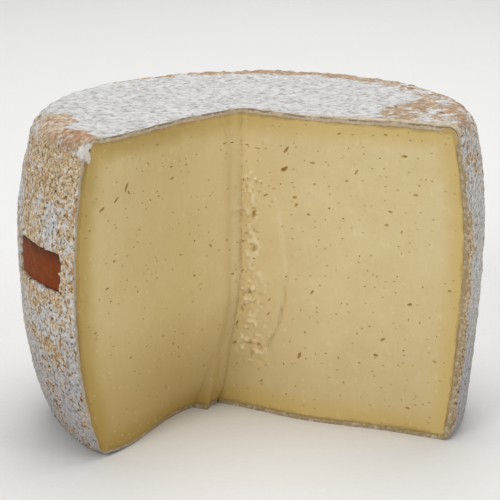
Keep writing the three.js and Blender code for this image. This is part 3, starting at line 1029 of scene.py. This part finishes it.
def hand_placed_holes(wedge):
    """Uneven rounded lumps where each larger hole is, as one cutter."""
    ball = bmesh.new()
    bmesh.ops.create_icosphere(ball, subdivisions=3, radius=0.5)
    shell = np.array([v.co for v in ball.verts])
    corners = np.array([[v.index for v in f.verts] for f in ball.faces])
    ball.free()
    points, faces = [], []
    for holes, face, along_way, into, winding in (
        (RIGHT_HOLES, wedge.right_face, wedge.right_along, wedge.right_into, 1),
        (LEFT_HOLES, wedge.left_face, wedge.left_along, wedge.left_into, -1),
    ):
        for number, (along, height, length, width, turn) in enumerate(holes):
            tilt = math.radians(turn)
            lump = shell * (1 + 0.35 * grain(shell + 3.1 * number, 0.4, 41)[:, None])
            long, wide = lump[:, 0] * length * HOLE_LONG, lump[:, 2] * width * HOLE_WIDE
            deep = lump[:, 1] * (length + width) * HOLE_DEEP
            run = long * math.cos(tilt) - wide * math.sin(tilt)
            rise = long * math.sin(tilt) + wide * math.cos(tilt)
            centre = face(np.array(along * MM), np.array(height * MM))
            plan = centre + (run[:, None] * along_way + deep[:, None] * into) * MM
            faces.append(corners[:, ::winding] + len(shell) * len(points))
            points.append(np.column_stack([plan, (rise + height) * MM]))
    return new_piece("holes", np.vstack(points), np.vstack(faces))


def label_block(barrel, grow, sink, thickness, seed, ragged):
    """A plate that follows the barrel's side, ragged at its far end."""
    u, w = np.meshgrid(np.linspace(0, 1, LABEL_COLUMNS), np.linspace(0, 1, LABEL_ROWS), indexing="ij")
    ends = np.stack([0 * w, w * LABEL_WIDTH, 0 * w], axis=-1)
    nib = np.exp(-(((w - 0.63) / 0.09) ** 2)) * LABEL_NIB
    chew = (0.7 * grain(ends, 2.6 * MM, seed) + 0.4 * grain(ends, 1.1 * MM, seed + 1)) * MM * ragged
    length = LABEL_LENGTH + 2 * grow + nib + chew + LABEL_OVERHANG
    run = np.stack([u * LABEL_LENGTH, w * 0.05, 0 * w], axis=-1)
    waver = (0.35 * grain(run, 6 * MM, seed + 2) + 0.15 * grain(run, 2 * MM, seed + 3)) * MM * ragged
    z = LABEL_BOTTOM - grow + (LABEL_WIDTH + 2 * grow) * w + waver * (2 * w - 1)
    angle = LABEL_START + (u * length - grow) / barrel.radius
    outer = barrel.side(z, np.cos(angle - FULLER_SIDE)) - sink
    if sink > 0:
        inside = np.minimum(np.minimum(u, 1 - u) * LABEL_LENGTH, np.minimum(w, 1 - w) * LABEL_WIDTH)
        worn = 0.35 * MM * (1 - smooth(inside, 0, 0.9 * MM))
        dents = 0.16 * MM * grain(np.stack([angle * barrel.radius, z, 0 * z], -1), 7 * MM, seed + 4)
        outer = outer - worn + dents
    return block(around(outer, angle, z), around(outer - thickness, angle, z)), u, w


def knife_cuts(wedge):
    """The blocks that the two cuts take."""
    grids = {"left cut": wedge.left_cutter(CUT_STEP), "right cut": wedge.right_cutter(CUT_STEP)}
    return [new_piece(name, *block(*grid)) for name, grid in grids.items()]


def measure(name, description, default, unit="LENGTH", **limits):
    """A size that the panel offers."""
    return bpy.props.FloatProperty(name=name, description=description, default=default, unit=unit, **limits)


def swatch(name, description, *levels):
    """A colour that the panel offers, from its screen values."""
    shown = {"name": name, "description": description, "subtype": "COLOR"}
    return bpy.props.FloatVectorProperty(default=tone(*levels)[:3], **shown)


class CHEESE_PG_sizes(bpy.types.PropertyGroup):
    """Sizes of the cheese."""

    belly_radius: measure("Belly radius", "Radius where the wheel is widest", 119.8 * MM, min=0.05)
    wheel_height: measure("Height", "Height of the wheel", 162 * MM, min=0.05)
    wedge_opening: measure("Wedge opening", "Angle between the cuts", math.radians(109.4), "ROTATION")
    rind_thickness: measure("Rind thickness", "Depth of the rind at a cut", 2.8 * MM, min=0.001)
    pore_spacing: measure("Pore spacing", "Least distance between small pores", 5 * MM, min=0.002)
    pore_size: measure("Pore size", "Half width of the largest small pore", 0.62 * MM)


class CHEESE_PG_colours(bpy.types.PropertyGroup):
    """Colours of the cheese."""

    paste: swatch("Paste", "The paste away from the rind", 220, 200, 150)
    paste_shade: swatch("Paste shade", "Its darker patches", 210, 188, 134)
    under_rind: swatch("Under the rind", "The paste just under the rind", 204, 174, 98)
    bloom: swatch("Bloom", "The white mould", 210, 208, 205)
    crust: swatch("Crust", "The crust under the mould", 198, 170, 130)
    label: swatch("Label", "The casein label", 124, 57, 15)


class CHEESE_OT_paste(bpy.types.Operator):
    """Make the paste, cut by the knife and full of small holes"""

    bl_idname = "cheese.paste"
    bl_label = "Paste"

    def execute(self, context):
        sizes = context.scene.cheese_sizes
        barrel, wedge = Barrel(sizes), Wedge(sizes)
        finish = paste_finish(context.scene.cheese_colours)
        piece = new_piece("cheese_paste", *skin(barrel.rings(PASTE_STEP, sizes.rind_thickness, paste_relief)))
        carve(piece, *knife_cuts(wedge), hand_placed_holes(wedge), *self.pores(sizes, wedge, finish))
        points = vertices_of(piece.data)
        along, z = points[:, :2] @ wedge.right_along, points[:, 2]
        past = along - wedge.right_start(z)
        lumps, pits = wedge.curd(along, z)
        strip = plateau(past, 0.8 * MM, 1.6 * MM, 2.9 * MM, 3.7 * MM)
        notes = {
            "depth": barrel.depth(points) / MM,
            "pit": wedge.behind(points) / MM,
            "curd": lumps + 0.12 * (strip * smooth(z, 108 * MM, 130 * MM)),
            "hollow": pits,
            # Painted shade: a line along the crease at the join.
            "seam": np.exp(-((past / MM) ** 2)) * smooth(z, 10 * MM, 60 * MM),
        }
        dress(piece.data, finish, 42, **notes)
        finish_piece(piece, "paste", "cheese_wheel")
        return {"FINISHED"}

    def pores(self, sizes, wedge, finish):
        """Small pores on both faces; the left one has fewer."""
        faces = ((wedge.right_face, 4, 15000), (wedge.left_face, 8, 7000))
        for number, (face, low, density) in enumerate(faces):
            sheet = face_sheet(face, low, 106, 12, 150, 3)
            spread = (sizes.pore_spacing, density, 0.2 * MM, sizes.pore_size, 1.4)
            yield scatter(f"pores {number}", sheet, finish, *spread, seed=5 + number)


class CHEESE_OT_rind(bpy.types.Operator):
    """Make the rind, with its bloom, its crust and the dent for the label"""

    bl_idname = "cheese.rind"
    bl_label = "Rind"

    def execute(self, context):
        sizes = context.scene.cheese_sizes
        barrel, wedge = Barrel(sizes), Wedge(sizes)
        finish = RindFinish(context.scene.cheese_colours).whole()
        piece = new_piece("cheese_rind", *skin(barrel.rings(RIND_STEP, 0, rind_relief)))
        dent, _, _ = label_block(barrel, 0.5 * MM, -4 * MM, 6.2 * MM, 51, 1.6)
        inside = skin(barrel.rings(PASTE_STEP, sizes.rind_thickness, paste_relief))
        carve(piece, *knife_cuts(wedge), new_piece("dent", *dent), new_piece("inside", *inside))
        mesh = piece.data
        points = vertices_of(mesh)
        centres, normals = np.empty((2, len(mesh.polygons) * 3))
        mesh.polygons.foreach_get("center", centres)
        mesh.polygons.foreach_get("normal", normals)
        note(mesh, "cut", self.on_a_cut(centres.reshape(-1, 3), normals.reshape(-1, 3), wedge), "FACE")
        notes = {
            "depth": (barrel.depth(points) + rind_relief(points)) / MM,
            "bloom": self.bloom(points, barrel, wedge),
            "torn": torn_corner(points),
            "lip": self.lip(points, barrel, wedge),
        }
        dress(mesh, finish, 50, **notes)
        finish_piece(piece, "rind", "cheese_wheel")
        return {"FINISHED"}

    def bloom(self, points, barrel, wedge):
        """How much white mould there is at each point: none at 0, all over at 1."""
        x, y, z = points.T
        radius = np.hypot(x, y)
        angle = (np.degrees(np.arctan2(y, x)) + 40) % 360 - 40
        degrees, reach = np.array(BLOOM_REACH, float).T
        on_top = 0.5 + (np.interp(angle, degrees, reach) * MM - radius) / (9 * MM)
        on_top = np.clip(on_top, np.where((angle < 40) & (angle > -40), 0.42, 0.24), 1.0)
        top = smooth(z, barrel.height - 6 * MM, barrel.height - 1.5 * MM)
        low = 1 - smooth(z, 30 * MM, 110 * MM)
        left_end = 1 - smooth(angle, 181, 190)
        right_end = 1 - smooth(np.abs(angle + 35), 8, 40)
        side = 0.36 + 0.3 * low + 0.34 * left_end * (angle > 150) + 0.4 * right_end
        beside_left_cut = plateau(angle, 190, 200, 220, 230)
        side = side + 0.15 * beside_left_cut * plateau(z, 88 * MM, 104 * MM, 124 * MM, 140 * MM)
        side = side - 0.14 * smooth(z, 115 * MM, 150 * MM)
        bare = (1 - smooth(wedge.in_from_right(points), 3 * MM, 9 * MM)) * (x > 0)
        bare = bare * (1 - smooth(z, 108 * MM, 130 * MM))
        side = side - 0.9 * bare
        return on_top * top + side * (1 - top) + torn_corner(points)

    def lip(self, points, barrel, wedge):
        """1 on the cream lip of the top along the right cut, wider further out, and 0 past it."""
        along = points[:, :2] @ wedge.right_along
        in_from_cut = wedge.in_from_right(points)
        width = (1.5 + 5.5 * smooth(along, 20 * MM, 75 * MM)) * MM
        top = smooth(points[:, 2], barrel.height - 6 * MM, barrel.height - 3 * MM)
        return (1 - smooth(in_from_cut, 0.4 * width, 1.6 * width)) * top * smooth(along, -3 * MM, 3 * MM)

    def on_a_cut(self, centres, normals, wedge):
        """1 for a face that the knife made, 0 elsewhere."""
        made = np.zeros(len(centres))
        for along, off in wedge.off_faces(centres):
            made = np.maximum(made, (np.abs(off) < CUT_TOLERANCE) & (along > CLEAR_OF_JOIN))
        near = np.hypot(centres[:, 0], centres[:, 1]) < NEAR_JOIN
        return np.maximum(made, near & (np.abs(normals[:, 2]) < 0.7))


class CHEESE_OT_crumbs(bpy.types.Operator):
    """Scatter crumbs of crust and mould over the rind"""

    bl_idname = "cheese.crumbs"
    bl_label = "Crumbs"

    def execute(self, context):
        height = context.scene.cheese_sizes.wheel_height
        grid = bmesh.new()
        grid.from_mesh(bpy.data.objects["cheese_rind"].data)
        cut = grid.faces.layers.float["cut"]
        deep = grid.verts.layers.float["depth"]

        def on_side(face):
            """True for a face of the outside, clear of the base, the top and the cuts."""
            level = 2 * MM <= face.calc_center_median().z <= height - 5 * MM
            return level and face[cut] <= 0.5 and all(v[deep] <= 1.2 for v in face.verts)

        unwanted = [face for face in grid.faces if not on_side(face)]
        bmesh.ops.delete(grid, geom=unwanted, context="FACES")
        sheet = new_piece("sheet", np.zeros((0, 3)), [])
        grid.to_mesh(sheet.data)
        grid.free()
        finish = grain_finish(context.scene.cheese_colours)
        piece = scatter("rind_crumbs", sheet, finish, 2.6 * MM, 60000, 0.22 * MM, 0.55 * MM, 0.7, 9, 1)
        soften(piece.data, 180)
        finish_piece(piece, "rind")
        return {"FINISHED"}


class CHEESE_OT_curd(bpy.types.Operator):
    """Scatter torn curd down the corner between the cuts"""

    bl_idname = "cheese.curd"
    bl_label = "Curd"

    def execute(self, context):
        wedge = Wedge(context.scene.cheese_sizes)
        finish = curd_finish(context.scene.cheese_colours)
        for name, extent, spacing, density, smallest, largest, flatness, seed in (
            ("curd_crumbs", (-4.5, 8, 62, 128), 3.0, 400000, 0.45, 1.2, 0.9, 13),
            ("curd_crumbs_low", (-5, 13, 34, 62), 4.6, 300000, 0.4, 1.1, 0.8, 17),
        ):
            sheet = face_sheet(wedge.right_face, *extent, 1.5)
            spread = (spacing * MM, density, smallest * MM, largest * MM, flatness)
            piece = scatter(name, sheet, finish, *spread, seed)
            soften(piece.data, 180)
            finish_piece(piece, "paste")
        return {"FINISHED"}


class CHEESE_OT_label(bpy.types.Operator):
    """Make the casein label that is pressed into the side"""

    bl_idname = "cheese.label"
    bl_label = "Label"

    def execute(self, context):
        barrel = Barrel(context.scene.cheese_sizes)
        made, u, w = label_block(barrel, 0, LABEL_SINK, LABEL_THICKNESS, 61, 1.0)
        piece = new_piece("casein_plate", *made, label_finish(context.scene.cheese_colours))
        note(piece.data, "along", np.tile(u.ravel(), 2))
        note(piece.data, "across", np.tile(w.ravel(), 2))
        soften(piece.data, 50)
        finish_piece(piece, "label", "casein_label")
        return {"FINISHED"}


class CHEESE_OT_stage(bpy.types.Operator):
    """Make the paper, the lights and the camera"""

    bl_idname = "cheese.stage"
    bl_label = "Stage"

    def execute(self, context):
        self.paper()
        self.lights(context)
        self.camera(context)
        context.scene.view_settings.view_transform = "Standard"
        return {"FINISHED"}

    def paper(self):
        """A sheet of paper that sweeps up behind the cheese, all round."""
        across = np.linspace(0, 2 * math.pi, 97)[:-1]
        rings = [np.array([[0.0, 0.0, 0.0]])]
        rings += [around(radius, across, height) for radius, height in PAPER_SWEEP]
        points, faces = skin(rings)
        piece = new_piece("studio_paper", points, faces[:, ::-1], paper_finish())
        soften(piece.data, 60)

    def lights(self, context):
        """Large soft lights: above, from the front left, weaker from the front right, and from behind."""
        for name, spot, size, watts in (
            ("top light", (0.1, 0.35, 1.7), 1.3, 17),
            ("left light", (-1.25, -1.35, 1.15), 0.9, 15),
            ("right light", (1.3, -1.1, 1.0), 0.9, 7),
            ("back light", (0.3, 1.6, 1.4), 1.0, 9),
        ):
            lamp = bpy.data.lights.new(name, "AREA")
            lamp.shape = "SQUARE"
            lamp.size = size
            lamp.energy = watts
            made = bpy.data.objects.new(name, lamp)
            made.location = spot
            made.rotation_euler = (Vector((0, 0, 0.08)) - Vector(spot)).to_track_quat("-Z", "Y").to_euler()
            context.scene.collection.objects.link(made)
        world = bpy.data.worlds.new("studio")
        world.use_nodes = True
        sky = world.node_tree.nodes["Background"].inputs
        sky["Color"].default_value = (0.9, 0.93, 1.0, 1.0)
        sky["Strength"].default_value = 0.35
        context.scene.world = world

    def camera(self, context):
        """A long lens a metre in front of the wedge, a little above and to the left."""
        place = Vector((-162.0, -999.3, 369.3)) * MM
        aim = Vector((-1.9, 0.3, 86.7)) * MM
        forward = (aim - place).normalized()
        level = forward.cross(Vector((0, 0, 1))).normalized()
        upright = level.cross(forward)
        roll = math.radians(-0.25)
        right = level * math.cos(roll) + upright * math.sin(roll)
        up = upright * math.cos(roll) - level * math.sin(roll)
        lens = bpy.data.cameras.new("camera")
        lens.sensor_width = 36
        lens.lens = 145.84
        lens.clip_end = 20
        made = bpy.data.objects.new("camera", lens)
        made.matrix_world = Matrix.Translation(place) @ Matrix((right, up, -forward)).transposed().to_4x4()
        context.scene.collection.objects.link(made)
        context.scene.camera = made


class CHEESE_PT_panel(bpy.types.Panel):
    """The cheese's sizes, colours and pieces"""

    bl_idname = "CHEESE_PT_panel"
    bl_label = "Cheese Wheel"
    bl_space_type = "VIEW_3D"
    bl_region_type = "UI"
    bl_category = "Cheese"

    def draw(self, context):
        for group in (context.scene.cheese_sizes, context.scene.cheese_colours):
            box = self.layout.box()
            for name in group.__annotations__:
                box.prop(group, name)
        column = self.layout.column(align=True)
        for operator in OPERATORS:
            column.operator(operator.bl_idname)


OPERATORS = (
    CHEESE_OT_paste, CHEESE_OT_curd, CHEESE_OT_rind, CHEESE_OT_crumbs, CHEESE_OT_label, CHEESE_OT_stage
)
CLASSES = (CHEESE_PG_sizes, CHEESE_PG_colours, *OPERATORS, CHEESE_PT_panel)


def register():
    for item in CLASSES:
        bpy.utils.register_class(item)
    bpy.types.Scene.cheese_sizes = bpy.props.PointerProperty(type=CHEESE_PG_sizes)
    bpy.types.Scene.cheese_colours = bpy.props.PointerProperty(type=CHEESE_PG_colours)


def unregister():
    del bpy.types.Scene.cheese_colours
    del bpy.types.Scene.cheese_sizes
    for item in reversed(CLASSES):
        bpy.utils.unregister_class(item)


def main():
    register()
    bpy.ops.cheese.paste()
    bpy.ops.cheese.curd()
    bpy.ops.cheese.rind()
    bpy.ops.cheese.crumbs()
    bpy.ops.cheese.label()
    bpy.ops.cheese.stage()


if __name__ == "__main__":
    main()
